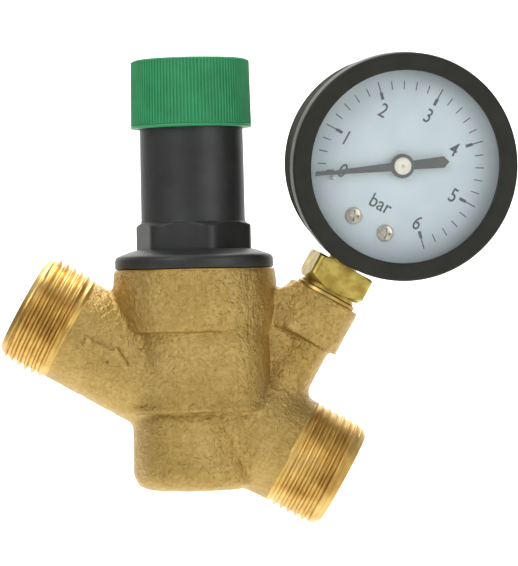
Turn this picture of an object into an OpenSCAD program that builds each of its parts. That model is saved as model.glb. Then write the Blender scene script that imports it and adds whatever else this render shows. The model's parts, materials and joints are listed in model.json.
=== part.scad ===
// Pressure reducing valve: cast body with two male threaded ends, spring bonnet with a hand knob, and a dial gauge.
// The pipe axis falls toward the outlet, the spring axis is upright, and the origin is the centre of the inlet's end face.

/* [Pipe ends] */
// Fall of the pipe axis from inlet to outlet, in degrees
pipe_tilt = 30; // [28:1:31]
// Distance from the crossing of both axes to the inlet's end face
inlet_reach = 45.6; // [44:0.2:48]
// Distance from the crossing of both axes to the outlet's end face
outlet_reach = 38.3; // [37:0.1:40]
// Crest radius of the inlet's thread, the largest of its class
inlet_crest_r = 13.22; // [13.04:0.01:13.22]
// Crest radius of the outlet's thread, near the smallest of its class
outlet_crest_r = 13.05; // [13.04:0.01:13.22]
// Root radius of the pipe threads
thread_root_r = 12.06; // [11.9:0.01:12.2]
// Pitch of the pipe threads, 14 threads an inch
thread_pitch = 1.814; // [1.7:0.001:1.9]
// Whole turns of thread on the inlet
inlet_turns = 6; // [5:1:6]
// Whole turns of thread on the outlet
outlet_turns = 6; // [5:1:7]
// Radius of the inlet's waterway
inlet_bore_r = 8.5; // [8:0.1:8.8]
// Radius of the outlet's waterway
outlet_bore_r = 9; // [8.5:0.1:9.2]

/* [Body] */
// Height of the body's top face over the crossing of both axes
body_top = 30.1; // [29.5:0.1:31]
// Depth of the body's bottom under the crossing of both axes
body_depth = 20.9; // [20.5:0.1:22]
// Radius of the bonnet's threaded seat
seat_thread_r = 16; // [15.8:0.1:16.2]
// Distance of the gauge boss from the crossing, along the pipe axis
boss_at = 14.5; // [14:0.1:15.5]
// Height of the gauge boss over the pipe axis
boss_top = 35; // [34:0.1:36]
// Radius of the gauge boss
boss_r = 8.6; // [8.4:0.1:9]

/* [Bonnet and knob] */
// Distance across the bonnet's hexagon flats
hex_flats = 24.3; // [24:0.1:24.6]
// Radius of the bonnet's spring tube
tube_r = 12; // [11.7:0.05:12]
// Height at which the knob begins
knob_base = 62.6; // [62.2:0.1:64]
// Height of the knob's top
knob_top = 78.5; // [78:0.1:80]
// Outer radius of the knob
knob_r = 14; // [13.7:0.1:14.4]

/* [Gauge] */
// Height of the dial's centre over the pipe axis
dial_height = 69.8; // [69.4:0.1:70.4]
// Turn of the gauge on its thread, in degrees
gauge_yaw = 11; // [0:1:12]
// Outer radius of the bezel
bezel_r = 26.25; // [26:0.05:26.5]
// Radius of the bezel's opening
window_r = 22.1; // [21.9:0.05:22.3]
// Width of the square part of the gauge's shank
shank_flats = 14; // [13.5:0.1:14.2]

/* [Hidden] */
$fn = 96;
eps = 0.05;            // how far a cutter runs past the face that it opens
slip = 0.1;            // radial play of a part that is fitted by hand
run = 0.05;            // radial play of a part that turns or slides

brass_cast = "#a8874a";
brass_cut = "#c9a85a";
nylon = "#33353a";
rubber = "#1c1c1c";
steel = "#a9adb2";
green = "#3b8a61";
dial_white = "#c8d4d6";

// Body: heights over the crossing of both axes, and radii
clamp_ledge = 19.5;
chamber_r = 13.4;
deck_top = 13;
deck_bottom = 8;
deck_bore_r = 10;
annulus_r = 12.6;
partition_top = 1;
partition_bottom = -2;
partition_bore_r = 8.6;
outlet_room_r = 12;
outlet_room_floor = -18;
inlet_bore_depth = 20.1;
outlet_bore_depth = 21.3;
port_r = 6.3;
port_bottom = 25.5;

// Stem: how far it rises from open to shut
stem_r = 3;
stem_bore_r = 1;
seat_r = 6.5;
piston_r = 7 - run;
diaphragm_t = 1.5;
spring_plate_z = clamp_ledge + diaphragm_t;
spring_plate_t = 2;
spring_mean_r = 7.6;
spring_wire_r = 1.2;
nut_z = 47;
nut_t = 4;
screw_r = 4;
tube_room_r = 10;
tube_room_top = 62;
bonnet_end = 66;

// Gauge: depths are measured back from the shank's axis
case_r = 25;
case_wall = 1.6;
case_front = -6.5;
case_back = 11.5;
bezel_front = -10.7;
bezel_back = -5.6;
window_front = -9.4;
window_t = 1.3;
gasket_t = 0.8;
dial_r = 23.2;
dial_front = -4.6;
dial_t = 0.6;
pointer_front = -6.3;
pointer_t = 0.4;
front_plate_y = -3;
front_plate_t = 0.8;
gear_y = -1.4;
gear_t = 0.8;
link_y = -0.5;
link_t = 0.6;
back_plate_y = 0.2;
back_plate_t = 1;
tube_y = 5;
tube_mean_r = 17.5;
tube_width = 7;
tube_thickness = 2.2;
tube_end_angle = -10;
tube_sweep = 262;
shank_top = 43.4;      // height over the pipe axis, just under the bezel
shank_neck_r = 3.6;
block_half = 5;
block_front = 1.2;
block_back = 9;
zero_angle = -124;     // dial angle of zero, clockwise from the top
gear_module = 0.4;
pinion_teeth = 10;
sector_teeth = 65;
pinion_r = gear_module * pinion_teeth / 2;
sector_r = gear_module * sector_teeth / 2;
gear_centres = pinion_r + sector_r;
pivot_angle = -78.5;   // direction of the sector's pivot from the dial's centre
pivot = gear_centres * [cos(pivot_angle), sin(pivot_angle)];
sector_swing = 39.85;
link_angle = 71;
link_length = 14;
tail_length = 4;
tail_angle = link_angle - 90 - sector_swing / 2;
tail = pivot + tail_length * [cos(tail_angle), sin(tail_angle)];
tip_pin = tail + link_length * [cos(link_angle), sin(link_angle)];
arbor_r = 0.5;
link_pin_r = 0.3;
open_pin_play = 0.35;

// Frames: the spring frame stands on the crossing, and the pipe frame has x downstream and z across it, upward
module on_spring() translate([inlet_reach * cos(pipe_tilt), 0, -inlet_reach * sin(pipe_tilt)]) children();
module on_pipe() on_spring() rotate([0, pipe_tilt, 0]) children();
module on_shank() on_pipe() translate([boss_at, 0, 0]) rotate([0, 0, gauge_yaw]) children();
module on_gauge() on_shank() translate([0, 0, dial_height]) children();

// A tube or disc from height z0 to z1, with an optional hole
module ring(z0, z1, r_out, r_in = 0) {
  translate([0, 0, z0])
    difference() {
      cylinder(h = z1 - z0, r = r_out);
      if (r_in > 0) translate([0, 0, -eps]) cylinder(h = z1 - z0 + 2 * eps, r = r_in);
    }
}

// A disc or ring about the gauge's own axis, from depth y0 back to y1
module dial_ring(y0, y1, r_out, r_in = 0) rotate([-90, 0, 0]) ring(y0, y1, r_out, r_in);

// A plate that follows a flat outline seen from the front of the gauge, from depth y0 back
module dial_plate(y0, thickness) translate([0, y0 + thickness, 0]) rotate([90, 0, 0]) linear_extrude(thickness) children();

// A pipe cylinder from x0 downstream to x1
module pipe(x0, x1, r) translate([x0, 0, 0]) rotate([0, 90, 0]) cylinder(h = x1 - x0, r = r);

// A hexagonal nut with a round hole
module hex_nut(z0, z1, flats, hole_r) {
  difference() {
    translate([0, 0, z0]) cylinder(h = z1 - z0, r = flats / 2 / cos(30), $fn = 6);
    translate([0, 0, z0 - eps]) cylinder(h = z1 - z0 + 2 * eps, r = hole_r);
  }
}

// A round sealing ring lying about the z axis
module oring(z, mean_r, cord_r) translate([0, 0, z]) rotate_extrude() translate([mean_r, 0]) circle(cord_r, $fn = 32);

// A coil spring as one swept wire with flat seats left round
function coil_point(a, r, pitch) = [r * cos(a), r * sin(a), pitch * a / 360];
module coil(z0, z1, mean_r, wire_r, turns, sides = 8, steps = 16) {
  rings = turns * steps;
  pitch = (z1 - z0 - 2 * wire_r) / turns;
  lean = atan(pitch / (2 * PI * mean_r));
  points = [for (i = [0:rings]) let (a = 360 * i / steps, p = coil_point(a, mean_r, pitch))
    for (k = [0:sides - 1]) let (b = 360 * k / sides, u = wire_r * cos(b), v = wire_r * sin(b))
      p + [u * cos(a) + v * sin(lean) * sin(a), u * sin(a) - v * sin(lean) * cos(a), v * cos(lean)]];
  sides_faces = [for (i = [0:rings - 1]) for (k = [0:sides - 1])
    let (n = (k + 1) % sides) [i * sides + k, (i + 1) * sides + k, (i + 1) * sides + n, i * sides + n]];
  caps = [[for (k = [0:sides - 1]) k], [for (k = [0:sides - 1]) (rings + 1) * sides - 1 - k]];
  translate([0, 0, z0 + wire_r]) polyhedron(points, concat(sides_faces, caps));
}

// Outline of a threaded pipe end: annular crests with flat tops, from x = 0 inward
function thread_outline(turns, run_in, crest_r) = concat(
  [[0, 0], [0, thread_root_r]],
  [for (i = [0:turns - 1]) let (x = run_in + i * thread_pitch) each [
    [x, thread_root_r], [x + 0.32 * thread_pitch, crest_r],
    [x + 0.54 * thread_pitch, crest_r], [x + 0.86 * thread_pitch, thread_root_r]]],
  [[run_in + turns * thread_pitch + 1, thread_root_r], [run_in + turns * thread_pitch + 1, 0]]);
module threaded_end(turns, run_in, crest_r)
  rotate([0, 90, 0]) rotate_extrude() polygon([for (p = thread_outline(turns, run_in, crest_r)) [p.y, p.x]]);

// Body: the cast outside, then its rooms and waterways
body_outline = [[0, body_top], [18.1, body_top], [18.5, body_top - 0.4], [19.1, 25.7], [18.4, 16.6], [17.4, 15.2],
  [16.2, -1.4], [15.4, -2.8], [15, 4.6 - body_depth],
  [13.7, 1.4 - body_depth], [10.5, -body_depth], [0, -body_depth]];
web_outline = [[16, 6], [16, 25.6], [19, 25.6], [20.2, 24.9], [24, 24.9], [25, 10]];

module branches() {
  pipe(-inlet_reach + 12, -8, 12.2);
  translate([-inlet_reach, 0, 0]) threaded_end(inlet_turns, 0.6, inlet_crest_r);
  pipe(8, outlet_reach - 13.2, 12.75);
  translate([outlet_reach, 0, 0]) mirror([1, 0, 0]) threaded_end(outlet_turns, 1.9, outlet_crest_r);
  translate([boss_at, 0, 0]) {
    ring(5, 25, 6.9);
    ring(24.3, boss_top, boss_r);
    translate([0, 0, 9]) cylinder(h = 6, r1 = 10, r2 = 6.9);
  }
}
module rooms() {
  ring(clamp_ledge, body_top + eps, seat_thread_r);
  ring(deck_top, clamp_ledge + eps, chamber_r);
  ring(deck_bottom - eps, deck_top + eps, deck_bore_r);
  ring(partition_top, deck_bottom, annulus_r);
  ring(partition_bottom - eps, partition_top + eps, partition_bore_r);
  ring(outlet_room_floor, partition_bottom, outlet_room_r);
}
// Flattened duct from the inlet's blind end down into the annulus round the cartridge
module inlet_duct() {
  translate([-23.4, 0, 13.5]) rotate([0, 90 + 33.9, 0]) linear_extrude(16)
    union() {
      square([6.4, 10], center = true);
      for (side = [-1, 1]) translate([0, side * 5]) circle(3.2);
    }
}
module waterways() {
  pipe(-inlet_reach - eps, inlet_bore_depth - inlet_reach, inlet_bore_r);
  pipe(outlet_reach - outlet_bore_depth, outlet_reach + eps, outlet_bore_r);
  translate([boss_at, 0, 0]) {
    ring(port_bottom, boss_top + eps, port_r);
    ring(outlet_bore_r - 2, port_bottom + eps, 2);
  }
}
module outlet_mouth() {
  intersection() {
    rotate([0, pipe_tilt, 0]) pipe(5, outlet_reach - outlet_bore_depth + eps, outlet_bore_r - 0.5);
    translate([0, -20, outlet_room_floor]) cube([40, 40, partition_bottom - outlet_room_floor]);
  }
}
module body() color(brass_cast) on_spring() difference() {
  union() {
    rotate_extrude() polygon(body_outline);
    rotate([0, pipe_tilt, 0]) branches();
    translate([0, 2.5, 0]) rotate([90, 0, 0]) linear_extrude(5) polygon(web_outline);
  }
  rooms();
  inlet_duct();
  outlet_mouth();
  rotate([0, pipe_tilt, 0]) waterways();
}

// Cartridge: a windowed cage that holds the seat and guides the stem's piston
module seat_cartridge() color(brass_cut) on_spring() difference() {
  union() {
    ring(partition_bottom, partition_top, partition_bore_r - slip);
    ring(partition_bottom - 0.8, partition_bottom + eps, seat_r + 0.7);
    ring(partition_top, deck_top, 9.6);
    ring(deck_bottom, deck_top, deck_bore_r - slip);
    ring(deck_top, deck_top + 1, 11.5);
  }
  ring(partition_bottom - 1, partition_top + 1, seat_r);
  ring(partition_top + 0.9, deck_top + 2, piston_r + run);
  for (turn = [0:45:135]) rotate([0, 0, turn]) translate([0, 0, 4.9]) cube([24, 4, 5], center = true);
  oring_groove(-0.5, partition_bore_r - slip);
  oring_groove(10.5, deck_bore_r - slip);
}
module oring_groove(z, r) ring(z - 0.7, z + 0.7, r + 1, r - 1);
module cartridge_lower_oring() color(rubber) on_spring() oring(-0.5, partition_bore_r - slip - 0.45, 0.5);
module cartridge_upper_oring() color(rubber) on_spring() oring(10.5, deck_bore_r - slip - 0.45, 0.5);
module cartridge_clip() color(steel) on_spring() difference() {
  ring(deck_top + 1.05, deck_top + 2.05, chamber_r - eps, 10.6);
  translate([8, -2, deck_top]) cube([8, 4, 4]);
}
// Strainer: a perforated sleeve in the inlet annulus
module strainer() color(steel) on_spring() difference() {
  ring(partition_top + 0.1, deck_bottom - 0.1, 11.5, 11);
  for (row = [0:2], hole = [0:15])
    rotate([0, 0, (hole + row / 2) * 22.5]) translate([10.5, 0, 2.6 + 1.9 * row]) rotate([0, 90, 0]) cylinder(h = 1.5, r = 0.6, $fn = 6);
}

// Stem: hollow, so that outlet pressure reaches the underside of the diaphragm
module stem() color(brass_cut) on_spring() difference() {
  union() {
    ring(-14.4, 27, stem_r);
    ring(8.3, 12.6, piston_r);
    ring(12.5, clamp_ledge - 1.5, 4.2);
  }
  ring(-15, 16, stem_bore_r);
  translate([0, 0, 15.2]) rotate([0, 90, 0]) cylinder(h = 12, r = stem_bore_r, center = true);
  ring(9.8, 11.2, piston_r + 1, piston_r - 1.1);
}
module stem_oring() color(rubber) on_spring() oring(10.5, piston_r - 0.5, 0.5);
module seat_disc() color(rubber) on_spring() ring(-7.6, -5.2, 8.2, stem_r);
module disc_holder() color(brass_cut) on_spring() difference() {
  ring(-10, -5.7, 9.2, stem_r);
  ring(-7.6, -5, 8.2);
}
module disc_nut() color(steel) on_spring() hex_nut(-13, -10, 8, stem_r);
module return_spring() color(steel) on_spring() coil(outlet_room_floor, -10.05, 6.2, 0.5, 3);
module diaphragm_washer() color(brass_cut) on_spring() ring(clamp_ledge - 1.5, clamp_ledge, 9.5, stem_r);
module diaphragm() color(rubber) on_spring() rotate_extrude() difference() {
  union() {
    translate([stem_r + slip, clamp_ledge]) square([15.8 - stem_r - slip, diaphragm_t]);
    translate([11.4, clamp_ledge]) circle(1.7, $fn = 48);
  }
  translate([11.4, clamp_ledge + diaphragm_t]) circle(1.7, $fn = 48);
}
module spring_plate() color(steel) on_spring() difference() {
  ring(spring_plate_z, spring_plate_z + spring_plate_t + 1.5, 9.7, stem_r);
  ring(spring_plate_z + spring_plate_t, spring_plate_z + 5, 9.1, 6);
  ring(spring_plate_z + spring_plate_t, spring_plate_z + 5, 6.05);
}
module stem_nut() color(steel) on_spring() hex_nut(spring_plate_z + spring_plate_t, spring_plate_z + 5, 8, stem_r);
module slip_ring() color(nylon) on_spring() ring(clamp_ledge + diaphragm_t, clamp_ledge + diaphragm_t + 1.5, 15.8, 12.9);
module main_spring() color(steel) on_spring() coil(spring_plate_z + spring_plate_t, nut_z, spring_mean_r, spring_wire_r, 6, 8, 20);

// Bonnet: threaded spigot, rounded flange, hexagon and spring tube in one moulding
bonnet_outline = [[0, 22.6], [seat_thread_r - slip, 22.6], [seat_thread_r - slip, body_top], [18.3, body_top],
  [18.3, 31.8], [17.9, 32.8], [17, 33.6], [15.6, 34.2], [14, 34.6], [0, 34.6]];
module bonnet_outside() {
  rotate_extrude() polygon(bonnet_outline);
  intersection() {
    rotate([0, 0, 48.5]) translate([0, 0, 34]) cylinder(h = 6.7, r = hex_flats / 2 / cos(30), $fn = 6);
    translate([0, 0, 34]) cylinder(h = 6.7, r = 13.45);
    translate([0, 0, 34]) cylinder(h = 6.7, r1 = 18, r2 = 13);
  }
  ring(40, bonnet_end, tube_r);
}
module bonnet() color(nylon) on_spring() difference() {
  bonnet_outside();
  ring(22, 31, 12.9);
  translate([0, 0, 31 - eps]) cylinder(h = 3, r1 = 12.9, r2 = tube_room_r);
  ring(33.9, tube_room_top, tube_room_r);
  ring(61, bonnet_end + 1, 3.5 + run);
  for (side = [-1, 1]) translate([-1.7, side * 10 - 1, 34]) cube([3.4, 2, 24]);
}
module adjusting_screw() color(steel) on_spring() difference() {
  union() {
    ring(40, 60, screw_r);
    ring(59.9, tube_room_top - 0.5, 7);
    ring(61, bonnet_end + 0.3, 3.5);
    translate([-2.4, -2.4, bonnet_end]) cube([4.8, 4.8, 8]);
  }
  ring(67, 75, 1.3);
}
module thrust_washer() color("#e8e4d8") on_spring() ring(tube_room_top - 0.45, tube_room_top - 0.05, 6.9, 3.5 + run);
module spring_nut() color(brass_cut) on_spring() difference() {
  union() {
    ring(nut_z, nut_z + nut_t, tube_room_r - 0.3);
    ring(nut_z - 3, nut_z + eps, 6);
    for (side = [-1, 1]) translate([-1.5, side * 9.6 - 1, nut_z]) cube([3, 2, nut_t]);
  }
  ring(nut_z - 4, nut_z + nut_t + 1, screw_r + run);
}
// Knob: a drawn-in cap whose hub sits on the screw's square
knob_outline = [[0, knob_base], [knob_r, knob_base], [knob_r - 0.25, knob_top - 2], [knob_r - 0.8, knob_top - 0.7],
  [knob_r - 2.2, knob_top], [0, knob_top]];
module knob() color(green) on_spring() difference() {
  rotate_extrude() polygon(knob_outline);
  ring(knob_base - 1, knob_top - 2.4, tube_r + 0.35, 6);
  ring(knob_base - 1, bonnet_end + 0.3, tube_r + 0.35);
  translate([-2.45, -2.45, knob_base]) cube([4.9, 4.9, knob_top - 4.3 - knob_base]);
  ring(knob_base, knob_top, 1.6);
  ring(knob_top - 2.9, knob_top + 1, 3.8);
}
module knob_screw() color(steel) on_spring() difference() {
  union() {
    ring(68, knob_top - 2.8, 1.25);
    ring(knob_top - 2.85, knob_top - 0.7, 3.1);
  }
  for (turn = [0, 90]) rotate([0, 0, turn]) translate([-2, -0.4, knob_top - 1.9]) cube([4, 0.8, 2]);
}

// Gauge: socket with its threaded shank, square and inner block
module gauge_socket() color(brass_cut) on_shank() difference() {
  union() {
    ring(26, boss_top + 1.1, port_r - slip);
    ring(boss_top + 1, boss_top + 2, 7.3);
    intersection() {
      translate([-shank_flats / 2, -shank_flats / 2, boss_top + 2]) cube([shank_flats, shank_flats, shank_top - boss_top - 2]);
      ring(boss_top + 1.9, shank_top + 1, 9.3);
    }
    ring(shank_top - 1, 50.8, shank_neck_r);
    translate([-block_half, block_front, 48.3]) cube([2 * block_half, block_back - block_front, 9.7]);
  }
  ring(25, 50.2, 1.2);
  translate([0, 5.2, 49.4]) rotate([90, 0, 0]) cylinder(h = 5.2, r = 1.1);
  translate([0, 5, 49]) cylinder(h = 3.5, r = 1.1);
  translate([0, 5, 52]) rotate([0, -90, 0]) cylinder(h = 6, r = 1.1);
}
module gauge_seal() color("#b8925a") on_shank() ring(boss_top, boss_top + 1, 7.9, port_r);
case_outline = [[0, case_front], [case_r - 0.1, case_front], [case_r, case_front + 0.4], [case_r, case_back - 3],
  [case_r - 0.9, case_back - 0.9], [case_r - 3, case_back], [0, case_back]];
module gauge_case() color(nylon) on_gauge() difference() {
  rotate([-90, 0, 0]) rotate_extrude() polygon(case_outline);
  dial_ring(case_front - 1, case_back - case_wall, case_r - case_wall);
  translate([0, 0, -case_r - 2]) cylinder(h = 6, r = shank_neck_r + run);
  for (spot = case_screw_spots) translate([spot.x, 0, spot.y]) rotate([-90, 0, 0]) ring(case_back - 3, case_back + 1, 1.1);
}
case_screw_spots = [[-3, -15], [3, -15]];
module case_screws() color(steel) on_gauge()
  for (spot = case_screw_spots) translate([spot.x, 0, spot.y]) {
    dial_ring(case_back - case_wall - 0.9, case_back + 0.1, 1);
    dial_ring(case_back, case_back + 1, 2);
  }
module gauge_bezel() color(nylon) on_gauge() rotate([-90, 0, 0]) rotate_extrude()
  polygon([[window_r, bezel_front + 0.3], [window_r + 0.4, bezel_front], [bezel_r - 0.7, bezel_front],
    [bezel_r, bezel_front + 0.7], [bezel_r, bezel_back], [case_r + 0.05, bezel_back],
    [case_r + 0.05, window_front + 2.3], [23.6, window_front + 2.3], [23.6, window_front], [window_r, window_front]]);
module gauge_window() color("#dfe9ea", 0.35) on_gauge() dial_ring(window_front, window_front + window_t, 23.5);
module window_gasket() color(rubber) on_gauge() dial_ring(window_front + window_t, window_front + window_t + gasket_t, 23.5, 22.9);
module dial() color(dial_white) on_gauge() difference() {
  dial_ring(dial_front, dial_front + dial_t, dial_r);
  dial_ring(dial_front - 1, dial_front + 1, 1.4);
}
dial_screw_spots = [[-4.3, -15.3], [4.3, -15.3]];
module dial_screws() color(steel) on_gauge()
  for (spot = dial_screw_spots) translate([spot.x, 0, spot.y]) difference() {
    dial_ring(dial_front - 0.7, dial_front, 2);
    for (turn = [0, 90]) rotate([0, turn, 0]) translate([-1.3, dial_front - 1, -0.25]) cube([2.6, 0.7, 0.5]);
  }
function on_dial(radius, angle) = [radius * sin(angle), radius * cos(angle)];
stop_spot = on_dial(16.6, zero_angle - 3.5);
module stop_pin() color(steel) on_gauge() translate([stop_spot.x, 0, stop_spot.y]) dial_ring(pointer_front - 0.3, dial_front, 0.5);
pointer_outline = [[-0.2, 20.3], [0.2, 20.3], [0.75, 3], [1.1, -2], [1.3, -9.5], [0, -11], [-1.3, -9.5], [-1.1, -2], [-0.75, 3]];
module pointer() color("#1f1f1f") on_gauge() rotate([0, zero_angle, 0]) difference() {
  union() {
    dial_plate(pointer_front, pointer_t) polygon(pointer_outline);
    dial_ring(pointer_front, pointer_front + pointer_t, 2.8);
  }
  dial_ring(pointer_front - 1, pointer_front + 1, arbor_r);
}
module pointer_boss() color("#e6e2d0") on_gauge() difference() {
  dial_ring(pointer_front - 0.7, pointer_front, 2.1);
  dial_ring(pointer_front - 0.3, pointer_front + 0.1, arbor_r);
}

// Movement: pinion on the pointer's arbor, toothed sector, link and the sprung tube
function involute(base, t) = base * [cos(t) + t * PI / 180 * sin(t), sin(t) - t * PI / 180 * cos(t)];
function roll(base, radius) = sqrt(max(0, pow(radius / base, 2) - 1)) * 180 / PI;
module gear_shape(teeth, mod, backlash, first, last) {
  pitch_r = mod * teeth / 2;
  base_r = pitch_r * cos(20);
  tip_r = pitch_r + 0.8 * mod;
  root_r = pitch_r - 1.15 * mod;
  inv_pitch = roll(base_r, pitch_r) - 20;
  half_tooth = 90 / teeth - backlash / 2 / pitch_r * 180 / PI + inv_pitch;
  flank = [for (i = [0:4]) let (rad = max(base_r, root_r) + (tip_r - max(base_r, root_r)) * i / 4, t = roll(base_r, rad),
    p = involute(base_r, t), a = atan2(p.y, p.x) - half_tooth) norm(p) * [cos(a), sin(a)]];
  start = root_r * [cos(-half_tooth - 0.2), sin(-half_tooth - 0.2)];
  tooth = concat([start], flank, [for (i = [4:-1:0]) [flank[i].x, -flank[i].y]], [[start.x, -start.y]]);
  for (k = [first:last]) rotate(360 * k / teeth) polygon(tooth);
}
module pointer_arbor() color(brass_cut) on_gauge() {
  dial_ring(pointer_front - 0.3, back_plate_y + 0.9, arbor_r);
  dial_plate(gear_y, gear_t) rotate(pivot_angle) union() {
    circle(pinion_r - 1.1 * gear_module);
    gear_shape(pinion_teeth, gear_module, 0.12, 0, pinion_teeth - 1);
  }
}
module sector_blank() {
  intersection() {
    difference() {
      circle(sector_r - 1.1 * gear_module);
      circle(sector_r - 3);
    }
    polygon([[0, 0], 20 * [cos(-44), sin(-44)], 20 * [1, 0], 20 * [cos(6), sin(6)]]);
  }
  for (arm = [-34, -2]) rotate(arm) translate([0, -0.7]) square([sector_r - 2, 1.4]);
  circle(2);
}
module sector_gear() color(brass_cut) on_gauge() {
  dial_plate(gear_y, gear_t) translate(pivot) difference() {
    union() {
      rotate(pivot_angle + 180) {
        sector_blank();
        rotate(180 / sector_teeth) gear_shape(sector_teeth, gear_module, 0.12, -8, 0);
      }
      rotate(tail_angle) translate([0, -0.6]) square([tail_length, 1.2]);
      translate(tail - pivot) circle(0.9);
    }
  }
  translate([pivot.x, 0, pivot.y]) dial_ring(front_plate_y - 0.2, back_plate_y + 0.9, 0.6);
  translate([tail.x, 0, tail.y]) dial_ring(gear_y + gear_t - eps, link_y + link_t, link_pin_r);
}
module tip_link() color(steel) on_gauge() dial_plate(link_y, link_t) difference() {
  union() {
    translate(tail) circle(1.1);
    translate(tip_pin) circle(1.4);
    translate(tail) rotate(link_angle) translate([0, -0.6]) square([link_length, 1.2]);
  }
  translate(tail) circle(link_pin_r + run);
  translate(tip_pin) circle(link_pin_r + open_pin_play);
}
module flat_tube(width, thickness) {
  square([thickness, width - thickness], center = true);
  for (side = [-1, 1]) translate([0, side * (width - thickness) / 2]) circle(thickness / 2);
}
module bourdon_tube() color(brass_cast) on_gauge() rotate([90, 0, 0]) rotate([0, 0, tube_end_angle])
  rotate_extrude(angle = tube_sweep) translate([tube_mean_r, -tube_y]) difference() {
    flat_tube(tube_width, tube_thickness);
    flat_tube(tube_width - 0.8, tube_thickness - 0.8);
  }
tip_root = tube_mean_r * [cos(tube_end_angle - 4), sin(tube_end_angle - 4)];
module tube_tip() color(brass_cut) on_gauge() {
  rotate([90, 0, 0]) rotate([0, 0, tube_end_angle - 8]) rotate_extrude(angle = 7.7) translate([tube_mean_r, -tube_y])
    flat_tube(tube_width, tube_thickness);
  dial_plate(back_plate_y, 3) translate(tip_root) square([2.2, 2.2], center = true);
  dial_plate(back_plate_y, 1) {
    translate(tip_pin) circle(1.4);
    translate(tip_pin) rotate(atan2(tip_root.y - tip_pin.y, tip_root.x - tip_pin.x)) translate([0, -1])
      square([norm(tip_root - tip_pin), 2]);
  }
  translate([tip_pin.x, 0, tip_pin.y]) dial_ring(link_y, back_plate_y + 0.1, link_pin_r);
}
pillar_spots = [[-7, -14], [7.5, 2]];
module plate_outline() {
  translate([-8.5, -18.8]) square([17, 7.5]);
  translate([-3, -14]) square([6, 14]);
  circle(3.6);
  translate([0, -1]) square([7.5, 4.4]);
  translate(pillar_spots[1]) circle(1.9);
}
module movement_plate(y0, thickness) dial_plate(y0, thickness) difference() {
  plate_outline();
  circle(arbor_r + run);
  translate(pivot) circle(0.6 + run);
}
module movement_front_plate() color(brass_cut) on_gauge() movement_plate(front_plate_y, front_plate_t);
module movement_back_plate() color(brass_cut) on_gauge() movement_plate(back_plate_y, back_plate_t);
module movement_pillars() color(brass_cut) on_gauge()
  for (spot = pillar_spots) translate([spot.x, 0, spot.y]) dial_ring(front_plate_y + front_plate_t, back_plate_y, 1);
module movement_screws() color(steel) on_gauge()
  for (x = [-3.4, -1]) translate([x, 0, -17]) dial_ring(link_y + 0.1, back_plate_y, 0.9);
// Hairspring: a flat spiral between the arbor and the upper pillar
function spiral(a, half) = (0.9 + 3 * a / 1620 + half) * [cos(a), sin(a)];
module hairspring() color(steel) on_gauge() dial_plate(-2.05, 0.4) polygon(concat(
  [for (a = [0:18:1620]) spiral(a, 0.07)], [for (a = [1620:-18:0]) spiral(a, -0.07)]));

body();
seat_cartridge();
cartridge_lower_oring();
cartridge_upper_oring();
cartridge_clip();
strainer();
stem();
stem_oring();
seat_disc();
disc_holder();
disc_nut();
return_spring();
diaphragm();
diaphragm_washer();
spring_plate();
stem_nut();
slip_ring();
main_spring();
bonnet();
adjusting_screw();
thrust_washer();
spring_nut();
knob();
knob_screw();
gauge_socket();
gauge_seal();
gauge_case();
gauge_bezel();
gauge_window();
window_gasket();
case_screws();
dial();
dial_screws();
stop_pin();
pointer();
pointer_boss();
pointer_arbor();
hairspring();
bourdon_tube();
tube_tip();
tip_link();
sector_gear();
movement_front_plate();
movement_back_plate();
movement_pillars();
movement_screws();
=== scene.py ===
import json
import math

import bmesh
import bpy
import numpy as np
from mathutils import Matrix, Vector


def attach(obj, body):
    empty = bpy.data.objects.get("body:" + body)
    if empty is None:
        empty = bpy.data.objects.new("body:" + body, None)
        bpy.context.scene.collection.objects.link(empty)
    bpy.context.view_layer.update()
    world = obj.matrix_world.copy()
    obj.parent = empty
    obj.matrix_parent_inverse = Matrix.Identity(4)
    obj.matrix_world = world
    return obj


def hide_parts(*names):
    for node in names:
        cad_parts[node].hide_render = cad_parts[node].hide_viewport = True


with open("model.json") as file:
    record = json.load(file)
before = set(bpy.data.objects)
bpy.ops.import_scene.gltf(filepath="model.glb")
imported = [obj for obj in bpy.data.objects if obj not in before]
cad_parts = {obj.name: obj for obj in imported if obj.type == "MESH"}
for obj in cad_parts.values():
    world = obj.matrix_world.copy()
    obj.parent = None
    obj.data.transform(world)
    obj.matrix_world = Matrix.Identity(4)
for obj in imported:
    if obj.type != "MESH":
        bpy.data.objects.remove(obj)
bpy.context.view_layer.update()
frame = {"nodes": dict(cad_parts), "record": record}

# Sizes in millimetres, as in the part. Heights of body and bonnet are counted from the crossing of the
# spring axis and the pipe axis.
MM = 0.001
PIPE_TILT = math.radians(30)
GAUGE_YAW = math.radians(11)
INLET_REACH = 45.6
OUTLET_REACH = 38.3
INLET_BORE_R = 8.5
OUTLET_BORE_R = 9.0
THREAD_PITCH = 1.814
INLET_CREST_R = 13.22
OUTLET_CREST_R = 13.03
THREAD_ROOT_R = 12.06
BODY_TOP = 30.1
BODY_BOTTOM = -20.9
BOSS_AT = 14.5
BOSS_TOP = 35.0
BOSS_R = 8.6
DIAL_HEIGHT = 69.8
SHANK_TOP = 43.4
KNOB_BASE = 62.6
KNOB_TOP = 78.5
KNOB_R = 14.0
BEZEL_R = 26.25
BEZEL_FRONT = -10.7
WINDOW_R = 22.1
DIAL_R = 23.2
DIAL_FRONT = -4.6
ZERO_ANGLE = -124

# The part's own frames, as matrices from millimetres to the row frame in millimetres
SPRING = Matrix.Translation((INLET_REACH * math.cos(PIPE_TILT), 0, -INLET_REACH * math.sin(PIPE_TILT)))
PIPE = SPRING @ Matrix.Rotation(PIPE_TILT, 4, "Y")
SHANK = PIPE @ Matrix.Translation((BOSS_AT, 0, 0)) @ Matrix.Rotation(GAUGE_YAW, 4, "Z")
GAUGE = SHANK @ Matrix.Translation((0, 0, DIAL_HEIGHT))
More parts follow.
